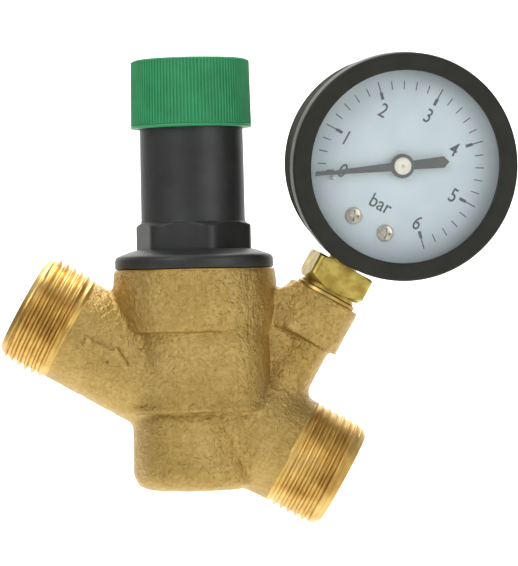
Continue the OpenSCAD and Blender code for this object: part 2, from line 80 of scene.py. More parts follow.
# A turned shape's own z axis laid along the pipe, or back through the gauge
ALONG_PIPE = PIPE @ Matrix.Rotation(math.pi / 2, 4, "Y")
THROUGH_GAUGE = GAUGE @ Matrix.Rotation(-math.pi / 2, 4, "X")
# Drawings on the dial: x to the right, y up, z toward the reader
ON_DIAL = GAUGE @ Matrix.Translation((0, DIAL_FRONT, 0)) @ Matrix.Rotation(math.pi / 2, 4, "X")


# ---------------------------------------------------------------- camera, light and stage

def studio():
    """Pale seamless sweep, soft boxes and the camera level with the valve's middle."""
    camera_distance = 764.0
    # Taken in from top to bottom at the valve's own distance
    view_height = 131.029
    aim = SPRING @ Vector((14.9, 0, 26.5))
    roll = math.radians(1.3)
    camera = bpy.data.objects.new("camera", bpy.data.cameras.new("camera"))
    camera.data.lens = camera.data.sensor_width * camera_distance / view_height
    camera.data.clip_start, camera.data.clip_end = 0.05, 20
    facing = Matrix.Rotation(roll, 4, "Y") @ Matrix.Rotation(math.pi / 2, 4, "X")
    camera.matrix_world = Matrix.Translation((aim - Vector((0, camera_distance, 0))) * MM) @ facing
    bpy.context.collection.objects.link(camera)
    bpy.context.scene.camera = camera
    bpy.context.scene.view_settings.view_transform = "Standard"

    world = bpy.data.worlds.new("studio")
    world.use_nodes = True
    world.node_tree.nodes["Background"].inputs["Color"].default_value = (1, 1, 1, 1)
    world.node_tree.nodes["Background"].inputs["Strength"].default_value = 0.32
    bpy.context.scene.world = world

    on_valve, on_wall = Vector((0.055, 0, 0.0)), Vector((0.055, 1.0, 0.0))
    for name, place, target, size, power in (
        ("key", (-0.45, -0.75, 0.55), on_valve, 0.5, 3.9),
        ("fill", (0.65, -0.7, 0.15), on_valve, 0.45, 2.0),
        ("top", (0.05, 0.05, 0.8), on_valve, 0.6, 2.3),
        ("wall", (0.055, 0.35, 0.75), on_wall, 0.5, 12.0),
    ):
        lamp = bpy.data.objects.new(name, bpy.data.lights.new(name, "AREA"))
        lamp.data.size = size
        lamp.data.energy = power
        lamp.location = Vector(place)
        lamp.rotation_euler = (target - lamp.location).to_track_quat("-Z", "Y").to_euler()
        bpy.context.collection.objects.link(lamp)

    # Sweep: level floor that curves up into a wall, as one smooth strip
    floor_z, wall_y, bend = -0.16, 0.9, 0.5
    path = [(-3.0, floor_z), (wall_y - bend, floor_z)]
    path += [(wall_y - bend + bend * math.sin(a), floor_z + bend - bend * math.cos(a))
             for a in np.linspace(0.1, math.pi / 2, 12)]
    path.append((wall_y, 3.0))
    verts = [(x, y, z) for y, z in path for x in (-4.0, 4.0)]
    faces = [(2 * i, 2 * i + 1, 2 * i + 3, 2 * i + 2) for i in range(len(path) - 1)]
    mesh = bpy.data.meshes.new("sweep")
    mesh.from_pydata(verts, [], faces)
    mesh.shade_smooth()
    sweep = bpy.data.objects.new("sweep", mesh)
    bpy.context.collection.objects.link(sweep)
    mesh.materials.append(plain_paper())


# ---------------------------------------------------------------- materials

def linear(hex_colour):
    """An sRGB colour written as hex, as linear RGBA."""
    channels = [int(hex_colour[i:i + 2], 16) / 255 for i in (1, 3, 5)]
    return (*[c / 12.92 if c <= 0.04045 else ((c + 0.055) / 1.055) ** 2.4 for c in channels], 1.0)


def add(tree, kind, inputs=None, stops=(), **settings):
    """
    Adds a node and sets its properties. Inputs are filled with a value or with another node's output,
    and stops are a colour ramp's (position, hex colour).
    """
    made = tree.nodes.new(kind)
    for name, value in settings.items():
        setattr(made, name, value)
    for key, value in (inputs or {}).items():
        if isinstance(value, bpy.types.NodeSocket):
            tree.links.new(value, made.inputs[key])
        else:
            made.inputs[key].default_value = value
    while stops and len(made.color_ramp.elements) < len(stops):
        made.color_ramp.elements.new(0.5)
    for index, (position, colour) in enumerate(stops):
        made.color_ramp.elements[index].position = position
        made.color_ramp.elements[index].color = linear(colour)
    return made


def noise_inputs(size_mm, place, detail, roughness):
    """The inputs of a noise whose lumps are about size_mm across."""
    return {"Vector": place, "Scale": 1 / (size_mm * MM), "Detail": detail, "Roughness": roughness}


def start_material(name, constants):
    """A material whose shader has these constant values, with its tree, its shader and object coordinates."""
    material = bpy.data.materials.new(name)
    material.use_nodes = True
    tree = material.node_tree
    shader = tree.nodes["Principled BSDF"]
    for socket, value in constants.items():
        shader.inputs[socket].default_value = value
    place = add(tree, "ShaderNodeTexCoord").outputs["Object"]
    return material, tree, shader, place


def dress(tree, shader, drift, tones, grain=None, roughness=(0.0, 1.0), relief=()):
    """
    Joins patterns to the shader. Drift runs the colour through tones, grain moves the roughness between two
    values, and relief, the lowest first, is (pattern, depth in mm, strength).
    """
    colour = add(tree, "ShaderNodeValToRGB", {"Fac": drift}, tones).outputs["Color"]
    tree.links.new(colour, shader.inputs["Base Color"])
    if grain is not None:
        smooth, rough = roughness
        gloss = add(tree, "ShaderNodeMapRange", {"Value": grain, "To Min": smooth, "To Max": rough})
        tree.links.new(gloss.outputs["Result"], shader.inputs["Roughness"])
    under = {}
    for height, depth_mm, strength in relief:
        dents = add(tree, "ShaderNodeBump", {
            "Height": height, "Distance": depth_mm * MM, "Strength": strength, **under})
        under = {"Normal": dents.outputs["Normal"]}
    if under:
        tree.links.new(under["Normal"], shader.inputs["Normal"])


def plain_paper():
    """Seamless studio paper, calendered: quite matt and even, so it shows only a faint drift of tone."""
    material, tree, shader, place = start_material("seamless_paper", {"Roughness": 0.9})
    drift = add(tree, "ShaderNodeTexNoise", noise_inputs(300, place, 3.0, 0.55))
    dress(tree, shader, drift.outputs["Fac"], ((0.3, "#F7F7F5"), (0.7, "#FAFAF8")))
    return material


def cast_brass():
    """Brass cast in a sand mould and shot blasted: fine pebbled grain, satin, with browner hollows."""
    material, tree, shader, place = start_material("cast_brass", {"Metallic": 1.0})
    broad = add(tree, "ShaderNodeTexNoise", noise_inputs(9.0, place, 2.0, 0.55))
    fine = add(tree, "ShaderNodeTexNoise", noise_inputs(0.8, place, 4.0, 0.65))
    bits = add(tree, "ShaderNodeTexNoise", noise_inputs(1.3, place, 3.0, 0.6))
    grain = fine.outputs["Fac"]
    mixed = add(tree, "ShaderNodeMix", {"Factor": 0.6, 2: broad.outputs["Fac"], 3: grain}, data_type="FLOAT")
    # Only the highest bits stand out of the skin, as single grains of sand print into it
    sand = bits.outputs["Fac"]
    specks = add(tree, "ShaderNodeMapRange", {"Value": sand, "From Min": 0.5, "From Max": 0.68})
    dress(tree, shader, mixed.outputs[0], ((0.33, "#A2864B"), (0.5, "#B6995B"), (0.66, "#C8AD71")),
          grain, (0.36, 0.56), ((specks.outputs["Result"], 0.24, 0.9), (grain, 0.3, 1.0)))
    return material


def machined_brass(name="machined_brass", along=ALONG_PIPE, tint=("#A07838", "#BE984E", "#D6B66E")):
    """Brass or bronze cut on a lathe or drawn: bright, with fine rings round its axis and cloudy tarnish."""
    material, tree, shader, place = start_material(name, {"Metallic": 1.0})
    upright = along.to_quaternion().inverted().to_euler()
    turned = add(tree, "ShaderNodeMapping", {"Vector": place, "Rotation": upright}).outputs["Vector"]
    # Drawn out across the axis, so that the grain reads as rings
    rings = add(tree, "ShaderNodeMapping", {"Vector": turned, "Scale": (0.03, 0.03, 1.0)}).outputs["Vector"]
    tool = add(tree, "ShaderNodeTexNoise", noise_inputs(0.12, rings, 2.0, 0.55))
    stain = add(tree, "ShaderNodeTexNoise", noise_inputs(8.0, place, 2.0, 0.55))
    marks = tool.outputs["Fac"]
    dress(tree, shader, stain.outputs["Fac"], ((0.32, tint[0]), (0.5, tint[1]), (0.68, tint[2])),
          marks, (0.34, 0.48), ((marks, 0.01, 0.3),))
    return material


def drawn_brass_bar():
    """Brass bar, drawn square and left as drawn: greenish yellow with scuffs and shallow dents."""
    material, tree, shader, place = start_material("drawn_brass_bar", {"Metallic": 1.0})
    dents = add(tree, "ShaderNodeTexNoise", noise_inputs(3.2, place, 3.0, 0.55))
    scuffs = add(tree, "ShaderNodeTexNoise", noise_inputs(0.7, place, 3.0, 0.55))
    broad = dents.outputs["Fac"]
    dress(tree, shader, broad, ((0.3, "#937C3A"), (0.5, "#AE984C"), (0.7, "#C8B464")),
          scuffs.outputs["Fac"], (0.34, 0.52), ((broad, 0.22, 0.5),))
    return material


def one_colour(name, dark, light, grain_mm, roughness, depth_mm, specular=0.5):
    """Moulded or coated: a single colour with a slight mottle and a fine grain that breaks up its shine."""
    material, tree, shader, place = start_material(name, {"IOR": 1.5, "Specular IOR Level": specular})
    broad = add(tree, "ShaderNodeTexNoise", noise_inputs(6.0, place, 2.0, 0.55))
    fine = add(tree, "ShaderNodeTexNoise", noise_inputs(grain_mm, place, 2.0, 0.55))
    grain = fine.outputs["Fac"]
    dress(tree, shader, broad.outputs["Fac"], ((0.3, dark), (0.7, light)),
          grain, (roughness - 0.07, roughness + 0.07), ((grain, depth_mm, 0.5),))
    return material


def plated_steel(name, dark, light, roughness):
    """Steel with an electroplated coat: bright but cloudy, so its highlights have soft edges."""
    material, tree, shader, place = start_material(name, {"Metallic": 1.0})
    cloud = add(tree, "ShaderNodeTexNoise", noise_inputs(1.4, place, 3.0, 0.55))
    fine = add(tree, "ShaderNodeTexNoise", noise_inputs(0.25, place, 3.0, 0.55))
    bloom = cloud.outputs["Fac"]
    dress(tree, shader, bloom, ((0.3, dark), (0.7, light)),
          bloom, (roughness - 0.08, roughness + 0.1), ((fine.outputs["Fac"], 0.01, 0.4),))
    return material


def clear_acrylic():
    """Polished clear acrylic: nearly nothing but its reflection, with faint wipe marks."""
    material, tree, shader, place = start_material("clear_acrylic", {"IOR": 1.49, "Alpha": 0.07})
    wipes = add(tree, "ShaderNodeTexNoise", noise_inputs(5.0, place, 2.0, 0.55))
    marks = wipes.outputs["Fac"]
    dress(tree, shader, marks, ((0.3, "#E6F0F4"), (0.7, "#F6FBFD")), marks, (0.02, 0.06))
    return material


MATERIALS = {}


def make_materials():
    """All finishes, by the name of the record's material slot, with a few more for visual pieces."""
    MATERIALS.update({
        "cast_brass": cast_brass(),
        "machined_brass": machined_brass(),
        # Thread: paler than the rest of the turned brass, a painted lift against the shade in its own grooves
        "thread_brass": machined_brass("thread_brass_painted_lift", ALONG_PIPE, ("#B08A48", "#D0AC62", "#E4C680")),
        # Ring punched from rolled sheet: pale, dulled by handling
        "seal_brass": machined_brass("rolled_brass", SHANK, ("#98783E", "#C09E5A", "#D8BC78")),
        # Yellow chromate over zinc: warm and slightly grey
        "screw_zinc": plated_steel("yellow_passivated_steel", "#8F8776", "#CFC6B2", 0.3),
        "drawn_brass_bar": drawn_brass_bar(),
        # Drawn phosphor bronze: redder than the brass
        "tube_bronze": machined_brass("drawn_bronze", GAUGE, ("#7C5226", "#B07E45", "#D8AA6E")),
        # Bright zinc: pale and slightly blue
        "steel_zinc": plated_steel("zinc_plated_steel", "#9A9EA3", "#C9CDD1", 0.32),
        # Moulded rubber: dead black, with hardly a highlight
        "rubber_black": one_colour("nitrile_rubber", "#121212", "#1C1C1B", 0.3, 0.7, 0.02),
        # Glass-filled moulding: a broad, soft shine from the fibres near its skin
        "nylon_black": one_colour("glass_filled_nylon", "#1B1D1C", "#282A29", 0.35, 0.46, 0.025),
        # Moulded from a spark-eroded tool: a strong colour with an even, satin shine
        "knob_green": one_colour("green_abs", "#258754", "#2F9762", 0.3, 0.5, 0.02),
        # Turned from rod: waxy, off-white
        "low_friction_white": one_colour("ptfe", "#CFCBBE", "#DDD9CC", 0.5, 0.6, 0.02),
        # Sprayed and baked on the pressed case: flat, brownish black, without a highlight
        "case_black": one_colour("stoved_enamel", "#474640", "#4E4D46", 0.5, 0.65, 0.02, 0.0),
        # Moulded ring: a shade darker and smoother than the case, with a faint highlight
        # Its base colour is lifted to grey: painted sheen in place of the shine its low specular drops
        "bezel_black": one_colour("black_abs_painted_sheen", "#2E2E2A", "#33332F", 0.4, 0.42, 0.015, 0.08),
        "window_clear": clear_acrylic(),
        # Sprayed on the aluminium plate: cool white, smooth and even
        "dial_white": one_colour("dial_enamel", "#C2D3DA", "#CCDADF", 0.6, 0.5, 0.005),
        # Pad printed: matt, and a hair proud of the enamel
        "dial_ink": one_colour("printing_ink", "#141414", "#1F1F1F", 0.4, 0.6, 0.003),
        # Chemically blackened, with a low shine; the grey-brown light tone is painted reflection of the
        # window
        "pointer_black": one_colour("blackened_brass_painted_reflection", "#171412", "#2B2622", 0.4, 0.38, 0.01),
        # Moulded without dye: warm off-white
        "boss_ivory": one_colour("ivory_nylon", "#DAD5C0", "#E8E4D3", 0.4, 0.42, 0.01),
    })


# ---------------------------------------------------------------- making pieces

def piece(name, verts, faces, at, finish, body, nodes=(), slot=None, sharp=35):
    """Makes a piece from a mesh in millimetres in the frame at. It rides on body and stands for nodes."""
    matrix = np.array(Matrix.Scale(MM, 4) @ at)
    verts = np.asarray(verts, float) @ matrix[:3, :3].T + matrix[:3, 3]
    mesh = bpy.data.meshes.new(name)
    mesh.from_pydata(verts.tolist(), [], [list(map(int, f)) for f in faces])
    mesh.validate()
    mesh.shade_smooth()
    mesh.set_sharp_from_angle(angle=math.radians(sharp))
    obj = bpy.data.objects.new(name, mesh)
    bpy.context.collection.objects.link(obj)
    return finish_piece(obj, finish, body, nodes)


def finish_piece(obj, finish, body, nodes=()):
    """Gives a placed object its material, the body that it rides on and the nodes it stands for."""
    obj.data.materials.clear()
    obj.data.materials.append(MATERIALS[finish])
    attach(obj, body)
    if nodes:
        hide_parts(*nodes)
    return obj


def revolve(rings, around, closed=False):
    """
    A turned mesh. Rings are (height, radius or array of radii), in order. A closed outline makes a tube, and
    an open one gets flat ends.
    """
    angles = np.arange(around) * 2 * math.pi / around
    verts = []
    for height, radius in rings:
        radius = np.broadcast_to(radius, around)
        verts += list(zip(radius * np.cos(angles), radius * np.sin(angles), [height] * around))
    count = len(rings)
    faces = []
    for i in range(count if closed else count - 1):
        below, above = i * around, (i + 1) % count * around
        for k in range(around):
            after = (k + 1) % around
            faces.append((below + k, below + after, above + after, above + k))
    if not closed:
        faces.append(list(range(around - 1, -1, -1)))
        faces.append([(count - 1) * around + k for k in range(around)])
    return np.array(verts), faces


def arc(centre, radius, start, end, steps=6):
    """Points (height, radius) on an arc, with angles in degrees from the outward direction toward the top."""
    return [(centre[0] + radius * math.sin(math.radians(a)), centre[1] + radius * math.cos(math.radians(a)))
            for a in np.linspace(start, end, steps)]


def flats(count, across, around):
    """Radii round a regular prism of count flats."""
    angles = np.arange(around) * 2 * math.pi / around
    wedge = 2 * math.pi / count
    return across / 2 / np.cos((angles + wedge / 2) % wedge - wedge / 2)


def soft_min(a, b, k):
    """Smooth least of two distances, blended where they are within k of each other."""
    h = np.clip(0.5 + 0.5 * (b - a) / k, 0, 1)
    return b * (1 - h) + a * h - k * h * (1 - h)


def soft_max(a, b, k):
    """Smooth greatest of two distances."""
    return -soft_min(-a, -b, k)


# ---------------------------------------------------------------- cast body

def turned_distance(along, across, start, end, radius, k):
    """Distance to a turned solid from start to end, whose radius is a number or (positions, radii)."""
    reach = np.interp(along, *radius) if isinstance(radius, tuple) else radius
    return soft_max(across - reach, np.maximum(start - along, along - end), k)


def casting_distance(p):
    """Signed distance to the casting, for points in the spring frame. Negative is metal."""
    x, y, z = p[..., 0], p[..., 1], p[..., 2]
    cosine, sine = math.cos(PIPE_TILT), math.sin(PIPE_TILT)
    # Pipe frame: down is downstream, and lift is across the pipe and upward
    down, lift = x * cosine - z * sine, x * sine + z * cosine
    spring_r = np.hypot(x, y)
    pipe_r = np.hypot(lift, y)
    boss_dist = np.hypot(down - BOSS_AT, y)

    cup_profile = ([16, 20, 25.7, 30.1], [18.2, 18.8, 19.0, 18.6])
    cup = turned_distance(z, spring_r, 15.6, BODY_TOP, cup_profile, 0.9)
    # The middle is round toward the inlet and squarer toward the outlet
    waist_x = 0.4
    squareness = np.where(x > waist_x, 2.8, 2.0)
    waist_r = (np.abs(x - waist_x) ** squareness + np.abs(y) ** squareness) ** (1 / squareness)
    waist_profile = ([-2.7, -1.9, -0.7, 8, 13, 16], [16.9, 17.1, 16.7, 16.8, 16.8, 16.4])
    waist = turned_distance(z, waist_r, -2.7, 16.4, waist_profile, 0.4)
    base_profile = ([-20, -14, -5, -3], [15.0, 15.0, 14.9, 14.4])
    base = turned_distance(z, spring_r, BODY_BOTTOM, 4, base_profile, 5.2)
    inlet = turned_distance(down, pipe_r, 11.6 - INLET_REACH, -4, 12.25, 0.3)
    outlet_profile = ([8, 20, 26], [13.1, 12.8, 12.6])
    outlet = turned_distance(down, pipe_r, 4, OUTLET_REACH - 13.0, outlet_profile, 0.3)
    boss = turned_distance(lift, boss_dist, 24.2, BOSS_TOP, BOSS_R, 0.5)
    # The neck under the boss is oval, narrower along the pipe, and stands a little downstream of the boss
    neck_squeeze, neck_shift = 1.4, 2.0
    neck_r = np.hypot(neck_squeeze * (down - BOSS_AT - neck_shift), y)
    neck_profile = ([5, 9, 13, 18, 24], [9.4, 8.2, 7.2, 6.85, 7.1])
    neck = turned_distance(lift, neck_r, 4, 28, neck_profile, 1.0)
    # A web with a slightly rising top fills the corner between the cup and the boss
    web_half, web_start, web_end, web_floor = 5.0, 14, 24, 4
    over_web = z - 25.2 - 0.1 * (x - 18)
    web_sides = soft_max(np.abs(y) - web_half, over_web, 1.2)
    web = soft_max(web_sides, np.maximum(web_start - x, np.maximum(x - web_end, web_floor - z)), 1.0)

    metal = soft_min(cup, waist, 0.7)
    metal = soft_min(metal, base, 0.25)
    metal = soft_min(metal, inlet, 1.2)
    arms = soft_min(outlet, neck, 2.6)
    arms = soft_min(arms, boss, 1.3)
    arms = soft_min(arms, web, 2.2)
    metal = soft_min(metal, arms, 0.5)

    # Flow arrow, raised on the front of the inlet branch
    arrow_tip, arrow_neck, arrow_tail = -16.9, -21.9, -29.0
    arrow_lift, shaft_half, arrow_r = -0.4, 1.3, 13.4
    edge_along, edge_across = 0.47, 0.88
    aside = np.abs(lift - arrow_lift)
    shaft = np.maximum(aside - shaft_half, np.maximum(arrow_tail - down, down - arrow_neck - 0.5))
    head = np.maximum(arrow_neck - down, (down - arrow_tip) * edge_along + aside * edge_across)
    arrow = soft_max(np.minimum(shaft, head), np.maximum(pipe_r - arrow_r, y), 0.15)
    metal = soft_min(metal, arrow, 0.2)

    # Parting line of the two mould halves
    ridge_height, ridge_half = 0.13, 0.4
    metal = metal - ridge_height * np.exp(-(y / ridge_half) ** 2)

    # Rooms on the spring axis, as floor, top and radius
    rooms = ((19.5, 31, 16.0), (13, 20, 13.4), (7, 14, 10.0), (1, 8, 12.6), (-3, 2, 8.6), (-18, -2, 12.0))
    for floor, top, radius in rooms:
        metal = np.maximum(metal, -np.maximum(spring_r - radius, np.maximum(floor - z, z - top)))
    # Waterways along the pipe, the gauge port, and the duct that climbs from the inlet
    inlet_way = np.maximum(pipe_r - INLET_BORE_R, down + 25.5)
    outlet_way = np.maximum(pipe_r - OUTLET_BORE_R, 17 - down)
    mouth = np.maximum(np.maximum(pipe_r - 8.5, 5 - down), np.maximum(z + 2, down - 18))
    port = np.maximum(boss_dist - 6.3, 25.5 - lift)
    slope = math.radians(33.9)
    duct_x, duct_z = -23.4, 13.5
    duct_along = (x - duct_x) * math.cos(slope) - (z - duct_z) * math.sin(slope)
    duct_up = (x - duct_x) * math.sin(slope) + (z - duct_z) * math.cos(slope)
    duct_round = np.hypot(np.maximum(np.abs(y) - 5, 0), duct_up) - 3.2
    duct = np.maximum(duct_round, np.maximum(-duct_along, duct_along - 16))
    for hollow in (inlet_way, outlet_way, mouth, port, duct):
        metal = np.maximum(metal, -hollow)
    return metal


def surface_net(distance, low, high, step):
    """Quads over the zero level of a distance function, one vertex in each cell that the level crosses."""
    axes = [np.arange(a, b + step, step) for a, b in zip(low, high)]
    field = distance(np.stack(np.meshgrid(*axes, indexing="ij"), axis=-1))
    inside = field < 0
    cells = np.array(field.shape) - 1
    corners = [np.array((i, j, k)) for i in (0, 1) for j in (0, 1) for k in (0, 1)]

    def at_corner(values, corner):
        return values[tuple(slice(o, o + n) for o, n in zip(corner, cells))]

    filled = sum(at_corner(inside, corner).astype(int) for corner in corners)
    crossed = (filled > 0) & (filled < 8)
    place = np.argwhere(crossed)
    index = np.full(tuple(cells), -1)
    index[crossed] = np.arange(len(place))
    total, hits = np.zeros((len(place), 3)), np.zeros(len(place))
    for corner in corners:
        for axis in range(3):
            if corner[axis]:
                continue
            along = np.eye(3, dtype=int)[axis]
            here, there = at_corner(field, corner)[crossed], at_corner(field, corner + along)[crossed]
            change = (here < 0) != (there < 0)
            share = here[change] / (here[change] - there[change])
            total[change] += corner + share[:, None] * along
            hits[change] += 1
    verts = np.array(low) + step * (place + total / hits[:, None])

    quads = []
    for axis in range(3):
        u, v = (axis + 1) % 3, (axis + 2) % 3
        near = inside.take(range(cells[axis]), axis)
        far = inside.take(range(1, cells[axis] + 1), axis)
        edges = np.argwhere(near != far)
        edges = edges[(edges[:, u] > 0) & (edges[:, v] > 0)]
        edges = edges[(edges[:, u] < cells[u]) & (edges[:, v] < cells[v])]
        outward = near[tuple(edges.T)]
        ring = []
        for du, dv in ((1, 1), (0, 1), (0, 0), (1, 0)):
            cell = edges.copy()
            cell[:, u] -= du
            cell[:, v] -= dv
            ring.append(index[tuple(cell.T)])
        ring = np.stack(ring, axis=1)
        ring[~outward] = ring[~outward][:, ::-1]
        quads.append(ring)
    return verts, np.concatenate(quads)


def slope_of(distance, points, step=0.05):
    """Gradient of a distance function at points."""
    rises = [distance(points + step * axis) - distance(points - step * axis) for axis in np.eye(3)]
    return np.stack(rises, axis=1) / (2 * step)


def lumps(points, size, seed):
    """Smooth random values from -1 to 1 at points, whose lumps are about size across."""
    table = np.random.default_rng(seed).uniform(-1, 1, (32, 32, 32))
    cell = np.floor(points / size).astype(int)
    part = points / size - cell
    part = part * part * (3 - 2 * part)
    value = 0.0
    for corner in [(i, j, k) for i in (0, 1) for j in (0, 1) for k in (0, 1)]:
        weight = np.prod(np.where(corner, part, 1 - part), axis=1)
        value = value + weight * table[tuple(((cell + corner) % 32).T)]
    return value


def make_casting():
    """The cast body, with blended branches, the flow arrow and an uneven blasted skin."""
    low, high = (-36, -20.5, -30.5), (44, 20.5, 38)
    step = 0.5
    verts, quads = surface_net(casting_distance, low, high, step)
    for _ in range(3):
        gradient = slope_of(casting_distance, verts)
        length = np.maximum(np.linalg.norm(gradient, axis=1), 0.3)
        move = casting_distance(verts) / length ** 2
        verts -= np.clip(move, -step / 2, step / 2)[:, None] * gradient
    normal = slope_of(casting_distance, verts)
    normal /= np.maximum(np.linalg.norm(normal, axis=1), 1e-6)[:, None]
    spot = verts + 50
    skin = 0.07 * lumps(spot, 3.0, 5) + 0.09 * lumps(spot, 1.3, 9)
    # Sunk a little, so that the highest lumps stay within the casting's size
    sink = 0.08
    verts += (skin - sink)[:, None] * normal
    piece("body_casting", verts, quads, SPRING, "cast_brass", "valve_body", ["body"], sharp=180)

    # Machined land under the bonnet, and the faced top of the gauge boss
    land = [(BODY_TOP - 0.9, 16.05), (BODY_TOP - 0.9, 18.35), (BODY_TOP - 0.25, 18.42)]
    land += [(BODY_TOP, 18.2), (BODY_TOP, 16.05)]
    piece("bonnet_seat_land", *revolve(land, 128, closed=True), SPRING, "machined_brass", "valve_body")
    facing = [(BOSS_TOP - 0.5, 6.35), (BOSS_TOP - 0.5, 8.35), (BOSS_TOP - 0.12, 8.4)]
    facing += [(BOSS_TOP, 8.25), (BOSS_TOP, 6.35)]
    piece("boss_faced_top", *revolve(facing, 96, closed=True), SHANK, "machined_brass", "valve_body")


# ---------------------------------------------------------------- threads

def thread_height(phase):
    """Share of the thread's depth over one pitch: a narrow rounded crest and a wide rounded root."""
    away = np.abs((phase + 0.5) % 1.0 - 0.5) * 2
    flank = np.clip((away - 0.10) / 0.62, 0, 1)
    return 0.5 + 0.5 * np.cos(math.pi * (0.75 * flank + 0.25 * flank ** 2 * (3 - 2 * flank)))


def threaded_pipe(name, at, length, crest_r, lead, lead_slope, blend_r, bore_r, start_angle, depth_share):
    """A right-hand pipe thread from the end face inward, cut as one helix that runs out into the branch."""
    around = 144
    per_pitch = 12
    rows = int(length / THREAD_PITCH * per_pitch)
    angles = np.arange(around) * 2 * math.pi / around
    depth = (crest_r - THREAD_ROOT_R) * depth_share
    fade = 1.3 * THREAD_PITCH
    mouth_chamfer = 0.9
    rings = [(length, bore_r), (0.5, bore_r), (0.0, bore_r + 0.5)]
    for row in range(rows + 1):
        x = length * row / rows
        phase = x / THREAD_PITCH - (angles + start_angle) / (2 * math.pi)
        radius = crest_r - depth * (1 - thread_height(phase))
        run_out = np.clip((x - length + fade) / fade, 0, 1)
        radius = radius * (1 - run_out) + np.minimum(radius, blend_r) * run_out
        # The first turns are cut down: a chamfer at the mouth, then a slope up to the full crest
        lead_r = THREAD_ROOT_R - mouth_chamfer + min(0.9 * x, mouth_chamfer) + lead_slope * max(x - lead, 0.0)
        rings.append((x, soft_min(radius, lead_r, 0.12)))
    verts, faces = revolve(rings, around, closed=True)
    faces = [f[::-1] for f in faces]
    return piece(name, verts, faces, at, "thread_brass", "valve_body", slot="machined_brass", sharp=50)


def make_threads():
    """The two ends' threads, each from its own end face and with its own size and depth."""
    inlet = ALONG_PIPE @ Matrix.Translation((0, 0, -INLET_REACH))
    outlet = ALONG_PIPE @ Matrix.Translation((0, 0, OUTLET_REACH)) @ Matrix.Rotation(math.pi, 4, "X")
    threaded_pipe("inlet_thread_cut", inlet, length=12.6, crest_r=INLET_CREST_R, lead=1.3, lead_slope=1.3,
                  blend_r=12.2, bore_r=INLET_BORE_R, start_angle=0.0, depth_share=0.85)
    threaded_pipe("outlet_thread_cut", outlet, length=13.9, crest_r=OUTLET_CREST_R, lead=0.9, lead_slope=0.6,
                  blend_r=12.55, bore_r=OUTLET_BORE_R, start_angle=1.0, depth_share=0.75)


# ---------------------------------------------------------------- bonnet and knob

def make_bonnet():
    """Flange with a rounded shoulder, chamfered hexagon and a slightly tapered tube, as one moulding."""
    around = 192
    hexagon = soft_min(flats(6, 24.3, around), np.full(around, 13.5), 0.35)
    skirt_r, thread_r, hollow_r = 12.9, 15.85, 10.0
    rings = [(22.6, skirt_r), (22.6, thread_r), (BODY_TOP, thread_r), (BODY_TOP + 0.02, 17.7)]
    rings += arc((30.65, 17.85), 0.5, -80, 0, 5)
    rings += arc((32.0, 16.9), 1.45, 5, 62, 7)
    rings += [(33.75, 16.3), (34.15, 15.2), (34.4, 14.4), (34.55, 13.9), (34.62, 13.6)]
    bottom, top = 34.62, 40.7
    rings += [(bottom + 0.03, soft_min(hexagon, np.full(around, 13.6), 0.1))]
    for height in np.linspace(bottom + 0.4, top, 22):
        cone = 12.25 + (top - height) * 1.75 + 0.15
        rings.append((height, soft_min(hexagon, np.full(around, cone), 0.25)))
    tube_end = 66
    rings += [(top + 0.05, 12.3), (top + 0.25, 12.1), (top + 0.8, 12.03), (52, 12.0), (tube_end, 11.9)]
    rings += [(tube_end, hollow_r), (34, hollow_r), (31, skirt_r)]
    verts, faces = revolve(rings, around, closed=True)
    turn = Matrix.Rotation(math.radians(18.5), 4, "Z")
    piece("bonnet_moulding", verts, faces, SPRING @ turn, "nylon_black", "valve_body", ["bonnet"], sharp=32)


def baked(obj, name):
    """The evaluated mesh of an object with live modifiers, as a plain object in its place."""
    graph = bpy.context.evaluated_depsgraph_get()
    mesh = bpy.data.meshes.new_from_object(obj.evaluated_get(graph))
    made = bpy.data.objects.new(name, mesh)
    bpy.context.collection.objects.link(made)
    bpy.data.objects.remove(obj)
    return made


def node_group(name, inputs):
    """An empty geometry tree with named inputs: (name, socket type)."""
    group = bpy.data.node_groups.new(name, "GeometryNodeTree")
    group.interface.new_socket("Geometry", in_out="OUTPUT", socket_type="NodeSocketGeometry")
    for label, kind in inputs:
        group.interface.new_socket(label, in_out="INPUT", socket_type=kind)
    return group, add(group, "NodeGroupInput"), add(group, "NodeGroupOutput")


def grow(name, group, values, at, finish, body):
    """Runs a geometry tree with the given input values and finishes its mesh as a piece."""
    holder = bpy.data.objects.new(name + "_seed", bpy.data.meshes.new(name + "_seed"))
    bpy.context.collection.objects.link(holder)
    modifier = holder.modifiers.new("grow", "NODES")
    modifier.node_group = group
    sockets = {item.name: item.identifier for item in group.interface.items_tree
               if item.item_type == "SOCKET" and item.in_out == "INPUT"}
    for label, value in values.items():
        modifier[sockets[label]] = value
    made = baked(holder, name)
    made.data.transform(Matrix.Scale(MM, 4) @ at)
    made.data.shade_smooth()
    made.data.set_sharp_from_angle(angle=math.radians(40))
    return finish_piece(made, finish, body)


def end_tree(group, output, geometry, finish):
    """Realizes the instances, sets the material and joins the tree's output."""
    real = add(group, "GeometryNodeRealizeInstances", {"Geometry": geometry}).outputs["Geometry"]
    slot = add(group, "GeometryNodeSetMaterial", {"Geometry": real, "Material": MATERIALS[finish]})
    group.links.new(slot.outputs["Geometry"], output.inputs["Geometry"])


